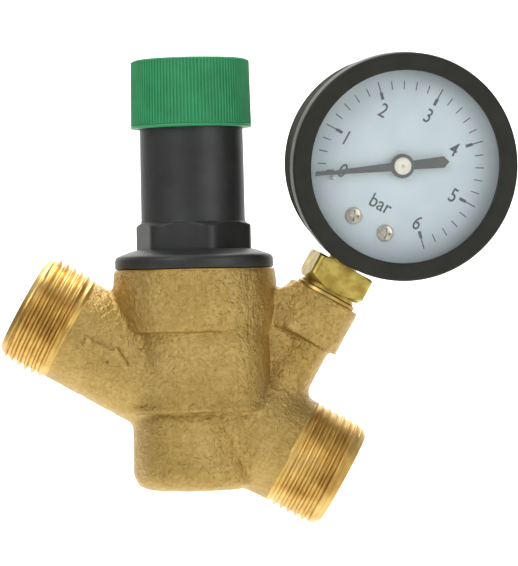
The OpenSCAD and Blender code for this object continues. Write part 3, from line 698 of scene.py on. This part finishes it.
def rib_tree():
    """Upright ribs round a drafted cap, each leaning in with the draft."""
    group, given, output = node_group("ribs_round_a_cap", (
        ("Ribs", "NodeSocketInt"), ("Radius", "NodeSocketFloat"), ("Rib width", "NodeSocketFloat"),
        ("Height", "NodeSocketFloat"), ("Draft", "NodeSocketFloat")))
    size = given.outputs
    ring = add(group, "GeometryNodeMeshCircle", {"Vertices": size["Ribs"], "Radius": size["Radius"]})
    half = add(group, "ShaderNodeMath", {0: size["Rib width"], 1: 0.5}, operation="MULTIPLY").outputs[0]
    rib = add(group, "GeometryNodeMeshCone", {"Vertices": 10, "Radius Bottom": half, "Radius Top": half,
                                              "Depth": size["Height"], "Side Segments": 1})
    step = add(group, "ShaderNodeMath", {0: 2 * math.pi, 1: size["Ribs"]}, operation="DIVIDE").outputs[0]
    index = add(group, "GeometryNodeInputIndex").outputs[0]
    turn = add(group, "ShaderNodeMath", {0: index, 1: step}, operation="MULTIPLY").outputs[0]
    lean = add(group, "ShaderNodeMath", {0: size["Draft"], 1: -1.0}, operation="MULTIPLY").outputs[0]
    aim = add(group, "ShaderNodeCombineXYZ", {"Y": lean, "Z": turn}).outputs[0]
    ribs = add(group, "GeometryNodeInstanceOnPoints", {
        "Points": ring.outputs["Mesh"], "Instance": rib.outputs["Mesh"], "Rotation": aim})
    end_tree(group, output, ribs.outputs["Instances"], "knob_green")
    return group


def make_knob():
    """Green cap: plain rim, fine ribs up the side, a rounded shoulder and a screw well in the top."""
    draft = 0.25 / (KNOB_TOP - KNOB_BASE)
    core = KNOB_R - 0.36
    corner = 0.7

    def side(height):
        return core - draft * (height - KNOB_BASE)

    # Rim, then up the side and over the shoulder
    rings = [(KNOB_BASE, 12.2), (KNOB_BASE, 13.6), (KNOB_BASE + 0.06, 13.85), (KNOB_BASE + 0.2, KNOB_R)]
    rings += [(KNOB_BASE + 0.5, KNOB_R), (KNOB_BASE + 0.7, 13.85), (KNOB_BASE + 0.82, side(KNOB_BASE + 0.82))]
    rings += [(KNOB_TOP - 0.9, side(KNOB_TOP - 0.9))]
    rings += arc((KNOB_TOP - corner, side(KNOB_TOP - corner) - corner), corner, 10, 90, 8)
    # Down into the well, through the hole and back along the inside
    rings += [(KNOB_TOP, 9.0), (KNOB_TOP, 4.4)] + arc((KNOB_TOP - 0.4, 4.4), 0.4, 90, 180, 4)
    rings += [(KNOB_TOP - 2.9, 3.9), (KNOB_TOP - 2.9, 1.6), (66.3, 1.6), (66.3, 6.0)]
    rings += [(KNOB_TOP - 2.6, 6.0), (KNOB_TOP - 2.6, 12.2)]
    verts, faces = revolve(rings, 216, closed=True)
    piece("knob_cap", verts, faces, SPRING, "knob_green", "knob", ["knob"], sharp=40)
    foot = KNOB_BASE + 0.8
    values = {"Ribs": 108, "Radius": side(foot) + 0.03, "Rib width": 0.56, "Height": KNOB_TOP - 0.45 - foot,
              "Draft": draft}
    grow("knob_ribs", rib_tree(), values, SPRING @ Matrix.Translation((0, 0, foot)), "knob_green", "knob")


# ---------------------------------------------------------------- gauge

def make_gauge_case():
    """Pressed case: a hem and a groove behind the bezel, a rounded back and a rubber plug in its middle."""
    rings = [(-6.5, 23.4), (-6.5, 24.75)] + arc((-6.1, 24.6), 0.4, -80, 0, 4)
    rings += [(-5.5, 25.0), (-5.45, 24.2), (-4.85, 24.2), (-4.75, 25.0), (-3.6, 25.0), (-3.3, 24.8)]
    rings += arc((9.1, 22.4), 2.4, 0, 90, 10) + [(11.5, 17.2)] + arc((11.2, 16.9), 0.3, 90, 140, 3)
    rings += [(11.05, 16.2), (11.05, 3.0), (9.9, 3.0), (9.9, 22.9), (9.4, 23.4)]
    verts, faces = revolve(rings, 160, closed=True)
    piece("gauge_case_shell", verts, faces, THROUGH_GAUGE, "case_black", "valve_body", ["gauge_case"])
    plug = [(10.4, 0.3), (10.4, 3.1), (11.2, 3.1), (11.35, 2.8), (11.35, 0.3)]
    piece("case_blow_out_plug", *revolve(plug, 48, closed=True), THROUGH_GAUGE, "rubber_black", "valve_body")


def make_bezel():
    """Ring that snaps over the case, with a rounded front and the window's opening."""
    front, back = BEZEL_FRONT, -5.6
    rings = [(-9.4, WINDOW_R), (front + 0.35, WINDOW_R + 0.05)]
    rings += arc((front + 0.35, WINDOW_R + 0.4), 0.35, 180, 270, 4)
    rings += [(front + 0.02, WINDOW_R + 1.2), (front, BEZEL_R - 1.6)]
    rings += arc((front + 0.9, BEZEL_R - 0.9), 0.9, -85, 0, 7)
    rings += [(front + 1.6, BEZEL_R), (back - 0.4, BEZEL_R)]
    rings += arc((back - 0.35, BEZEL_R - 0.35), 0.35, 10, 85, 4)
    rings += [(back, 25.05), (-7.1, 25.05), (-7.1, 23.6), (-9.4, 23.6)]
    verts, faces = revolve(rings, 192, closed=True)
    piece("gauge_bezel_ring", verts, faces, THROUGH_GAUGE, "bezel_black", "valve_body", ["gauge_bezel"])


def mark_tree():
    """Bars on a circle, each along its own radius, from one angle on by equal steps."""
    group, given, output = node_group("marks_on_a_scale", (
        ("Marks", "NodeSocketInt"), ("First angle", "NodeSocketFloat"), ("Step", "NodeSocketFloat"),
        ("Middle radius", "NodeSocketFloat"), ("Length", "NodeSocketFloat"), ("Width", "NodeSocketFloat"),
        ("Ink", "NodeSocketFloat")))
    size = given.outputs
    row = add(group, "GeometryNodeMeshLine", {"Count": size["Marks"]}).outputs["Mesh"]
    index = add(group, "GeometryNodeInputIndex").outputs[0]
    angle = add(group, "ShaderNodeMath", {0: index, 1: size["Step"], 2: size["First angle"]},
                operation="MULTIPLY_ADD").outputs[0]
    radians = add(group, "ShaderNodeMath", {0: angle}, operation="RADIANS").outputs[0]
    across = add(group, "ShaderNodeMath", {0: radians}, operation="SINE").outputs[0]
    up = add(group, "ShaderNodeMath", {0: radians}, operation="COSINE").outputs[0]
    spoke = add(group, "ShaderNodeCombineXYZ", {"X": across, "Y": up}).outputs[0]
    spot = add(group, "ShaderNodeVectorMath", {0: spoke, "Scale": size["Middle radius"]},
               operation="SCALE").outputs[0]
    placed = add(group, "GeometryNodeSetPosition", {"Geometry": row, "Position": spot}).outputs["Geometry"]
    shape = add(group, "ShaderNodeCombineXYZ", {"X": size["Width"], "Y": size["Length"], "Z": size["Ink"]})
    bar = add(group, "GeometryNodeMeshCube", {"Size": shape.outputs[0]}).outputs["Mesh"]
    back = add(group, "ShaderNodeMath", {0: radians, 1: -1.0}, operation="MULTIPLY").outputs[0]
    aim = add(group, "ShaderNodeCombineXYZ", {"Z": back}).outputs[0]
    marks = add(group, "GeometryNodeInstanceOnPoints", {
        "Points": placed, "Instance": bar, "Rotation": aim}).outputs["Instances"]
    end_tree(group, output, marks, "dial_ink")
    return group


def lettering(name, words, place, height, squeeze=0.82):
    """Printed figures: upright on the dial, centred on a place, a hair proud of the enamel."""
    cap_share = 0.72      # a capital's height over the type's size
    curve = bpy.data.curves.new(name, "FONT")
    curve.body = words
    curve.size = height / cap_share
    curve.align_x, curve.align_y = "CENTER", "CENTER"
    curve.extrude = 0.01
    curve.offset = 0.035
    curve.resolution_u = 4
    holder = bpy.data.objects.new(name + "_text", curve)
    bpy.context.collection.objects.link(holder)
    bpy.context.view_layer.update()
    made = baked(holder, name)
    shape = Matrix.Translation((place[0], place[1], 0.02)) @ Matrix.Diagonal((squeeze, 1, 1, 1))
    made.data.transform(Matrix.Scale(MM, 4) @ ON_DIAL @ shape)
    return finish_piece(made, "dial_ink", "valve_body")


def on_dial(radius, angle):
    """Point on the dial at a radius and an angle in degrees clockwise from its top."""
    return radius * math.sin(math.radians(angle)), radius * math.cos(math.radians(angle))


def make_dial():
    """Enamelled plate with its printed scale, 0 to 6 bar."""
    front, back = DIAL_FRONT, DIAL_FRONT + 0.6
    plate = [(front, 1.4), (front, DIAL_R - 0.2), (front + 0.1, DIAL_R - 0.03), (back, DIAL_R), (back, 1.4)]
    verts, faces = revolve(plate, 160, closed=True)
    piece("dial_plate", verts, [f[::-1] for f in faces], THROUGH_GAUGE, "dial_white", "valve_body", ["dial"])
    marks = mark_tree()
    proud = ON_DIAL @ Matrix.Translation((0, 0, 0.01))
    first_minor, minor_step, first_major, major_step = -117.0, 9.0, -90.0, 45.0
    zero_mark = ZERO_ANGLE + 1.0
    rows = (
        ("minor_marks", 29, first_minor, minor_step, 18.55, 2.0, 0.24, 0.04),
        ("major_lines", 6, first_major, major_step, 18.7, 2.6, 0.27, 0.05),
        ("major_blocks", 6, first_major, major_step, 16.65, 1.7, 0.72, 0.05),
        ("zero_line", 1, zero_mark, 0.0, 18.7, 2.6, 0.27, 0.05),
        ("zero_block", 1, zero_mark, 0.0, 16.65, 1.7, 0.72, 0.05),
    )
    for name, count, first, step, middle, length, width, ink in rows:
        values = {"Marks": count, "First angle": first, "Step": step, "Middle radius": middle,
                  "Length": length, "Width": width, "Ink": ink}
        grow(name, marks, values, proud, "dial_ink", "valve_body")
    # Figure, its angle from the dial's top, and its distance from the middle
    figures = ((0, ZERO_ANGLE, 13.8), (1, -93, 14.4), (2, -48, 13.3), (3, 0, 12.9), (4, 45, 12.9),
               (5, 91, 14.2), (6, 135, 13.9))
    for figure, angle, radius in figures:
        lettering(f"figure_{figure}", str(figure), on_dial(radius, angle), 3.4)
    lettering("unit_bar", "bar", (0.1, -10.1), 3.3, 0.9)


def make_pointer():
    """Blackened needle with a broad tail, pressed on a hub with an ivory boss."""
    right_side = [(0.3, 20.4), (0.98, 2.5), (1.0, -2.0), (1.33, -9.8), (0.1, -11.0)]
    outline = [(-0.3, 20.4)] + right_side + [(-0.1, -11.0), (-1.33, -9.8), (-1.0, -2.0), (-0.98, 2.5)]
    front, thick = -6.3, 0.4
    turn = GAUGE @ Matrix.Rotation(math.radians(ZERO_ANGLE), 4, "Y")
    builder = bmesh.new()
    loop = [builder.verts.new((x, front, z)) for x, z in outline]
    face = builder.faces.new(loop)
    pushed = bmesh.ops.extrude_face_region(builder, geom=[face])["geom"]
    moved = [v for v in pushed if isinstance(v, bmesh.types.BMVert)]
    bmesh.ops.translate(builder, verts=moved, vec=(0, thick, 0))
    bmesh.ops.recalc_face_normals(builder, faces=builder.faces)
    bmesh.ops.bevel(builder, geom=builder.edges[:], offset=0.06, segments=1, affect="EDGES")
    verts = [v.co[:] for v in builder.verts]
    faces = [[v.index for v in f.verts] for f in builder.faces]
    builder.free()
    piece("pointer_needle", verts, faces, turn, "pointer_black", "pointer", ["pointer"])
    nose = front - 0.08
    hub = [(nose, 0.55), (nose, 2.6), (front + 0.05, 2.8), (front + 0.45, 2.8), (front + 0.5, 0.55)]
    piece("pointer_hub", *revolve(hub, 64, closed=True), THROUGH_GAUGE, "pointer_black", "pointer")
    boss = [(front - 0.55, 0.35), (front - 0.72, 0.5), (front - 0.78, 1.3), (front - 0.62, 1.85)]
    boss += [(front - 0.35, 2.0), (nose, 2.0), (nose, 0.35)]
    verts, faces = revolve(boss, 64, closed=True)
    piece("pointer_cap", verts, faces, THROUGH_GAUGE, "boss_ivory", "pointer", ["pointer_boss"])
    pin = [(front - 0.62, 0.0), (front - 0.66, 0.2), (front - 0.6, 0.34), (front, 0.34)]
    piece("arbor_end", *revolve(pin, 24), THROUGH_GAUGE, "steel_zinc", "pointer")


def screw_head(name, at, radius, height, finish, body, nodes=(), slot=None):
    """Pan head with a cross recess, made as a domed disc with four sunk arms."""
    around = 48
    angles = np.arange(around) * 2 * math.pi / around
    arm = np.minimum(np.abs(np.sin(angles)), np.abs(np.cos(angles)))
    reach = radius * 0.62
    rings = [(0.0, radius), (height * 0.45, radius), (height * 0.8, radius * 0.93), (height, radius * 0.78)]
    sunk = np.clip(radius * 0.13 / np.maximum(arm, 0.12), radius * 0.17, reach)
    rings += [(height * 1.02, sunk + 0.05 * radius), (height * 0.9, sunk)]
    rings += [(height * 0.35, sunk * 0.8), (height * 0.3, sunk * 0.1)]
    verts, faces = revolve(rings, around)
    return piece(name, verts, faces, at, finish, body, nodes, slot)


def make_small_gauge_parts():
    """Two screws that hold the dial, the pin that stops the pointer at zero, and the window."""
    facing_reader = Matrix.Rotation(math.pi / 2, 4, "X")
    cross = Matrix.Rotation(math.radians(20), 4, "Z")
    for side, x in (("left", -4.25), ("right", 4.25)):
        at = GAUGE @ Matrix.Translation((x, DIAL_FRONT, -15.4)) @ facing_reader @ cross
        screw_head(f"dial_screw_{side}", at, 1.95, 0.68, "screw_zinc", "valve_body", ["dial_screws"],
                   "steel_zinc")
    x, z = on_dial(16.4, ZERO_ANGLE - 4.2)
    pin_at = GAUGE @ Matrix.Translation((x, DIAL_FRONT, z)) @ facing_reader
    pin = [(0.0, 0.5), (1.6, 0.5), (1.9, 0.4), (2.0, 0.25)]
    piece("zero_stop_pin", *revolve(pin, 32), pin_at, "steel_zinc", "valve_body", ["stop_pin"])
    window = [(-9.4, 23.4), (-8.1, 23.4)]
    verts, faces = revolve(window, 160)
    piece("window_disc", verts, faces, THROUGH_GAUGE, "window_clear", "valve_body", ["gauge_window"])


def make_socket():
    """Square shank over a turned collar, its neck into the case, the tube's block and the seal ring."""
    around = 192
    square = soft_min(flats(4, 14.0, around), np.full(around, 9.35), 0.3)
    bottom, top = BOSS_TOP + 1.95, SHANK_TOP
    rings = [(26.0, 1.2), (26.0, 5.6), (26.5, 6.15), (BOSS_TOP + 1.02, 6.2), (BOSS_TOP + 1.02, 6.6)]
    rings += [(BOSS_TOP + 1.2, 6.75), (BOSS_TOP + 1.5, 6.75), (BOSS_TOP + 1.6, 6.4), (bottom, 6.4)]
    for height in np.linspace(bottom + 0.02, top, 30):
        low_cone = np.full(around, 7.3 + (height - bottom) * 1.5)
        high_cone = np.full(around, 8.4 + (top - height) * 2.0)
        rings.append((height, soft_min(soft_min(square, low_cone, 0.2), high_cone, 0.2)))
    neck_r, bore_r = 3.6, 1.2
    block_bottom, block_top = 48.3, 58.0
    rings += [(top + 0.02, neck_r), (block_bottom + 2.4, neck_r), (block_bottom + 2.5, 3.4)]
    rings += [(block_bottom + 2.5, bore_r)]
    verts, faces = revolve(rings, around, closed=True)
    piece("gauge_shank", verts, faces, SHANK, "drawn_brass_bar", "valve_body", ["gauge_socket"],
          "machined_brass", sharp=30)

    angles = np.arange(around) * 2 * math.pi / around
    half_wide, half_deep, middle = 5.0, 3.9, 5.1
    oblong = np.minimum(half_wide / np.maximum(np.abs(np.cos(angles)), 0.01),
                        half_deep / np.maximum(np.abs(np.sin(angles)), 0.01))
    oblong = soft_min(oblong, np.full(around, 6.0), 0.2)
    block = [(block_bottom, oblong - 0.3), (block_bottom + 0.3, oblong)]
    block += [(block_top - 0.3, oblong), (block_top, oblong - 0.3)]
    block_at = SHANK @ Matrix.Translation((0, middle, 0))
    piece("socket_block", *revolve(block, around), block_at, "machined_brass", "valve_body")

    inner_r, outer_r, edge = 6.4, 7.3, 0.15
    seal = [(BOSS_TOP, inner_r), (BOSS_TOP, 7.1), (BOSS_TOP + edge, outer_r), (BOSS_TOP + 0.85, outer_r)]
    seal += [(BOSS_TOP + 1.0, 7.1), (BOSS_TOP + 1.0, inner_r)]
    verts, faces = revolve(seal, 96, closed=True)
    piece("shank_seal_ring", verts, faces, SHANK, "seal_brass", "valve_body", ["gauge_seal"], "tube_bronze")


# ---------------------------------------------------------------- carried-over nodes

def finish_nodes():
    """Gives every carried-over node the finish of its material slot."""
    for entry in frame["record"]["subparts"]:
        node = frame["nodes"][entry["node"]]
        node.data.materials.clear()
        node.data.materials.append(MATERIALS[entry["material_slot"]])


make_materials()
studio()
finish_nodes()
make_casting()
make_threads()
make_bonnet()
make_knob()
make_gauge_case()
make_bezel()
make_dial()
make_pointer()
make_small_gauge_parts()
make_socket()
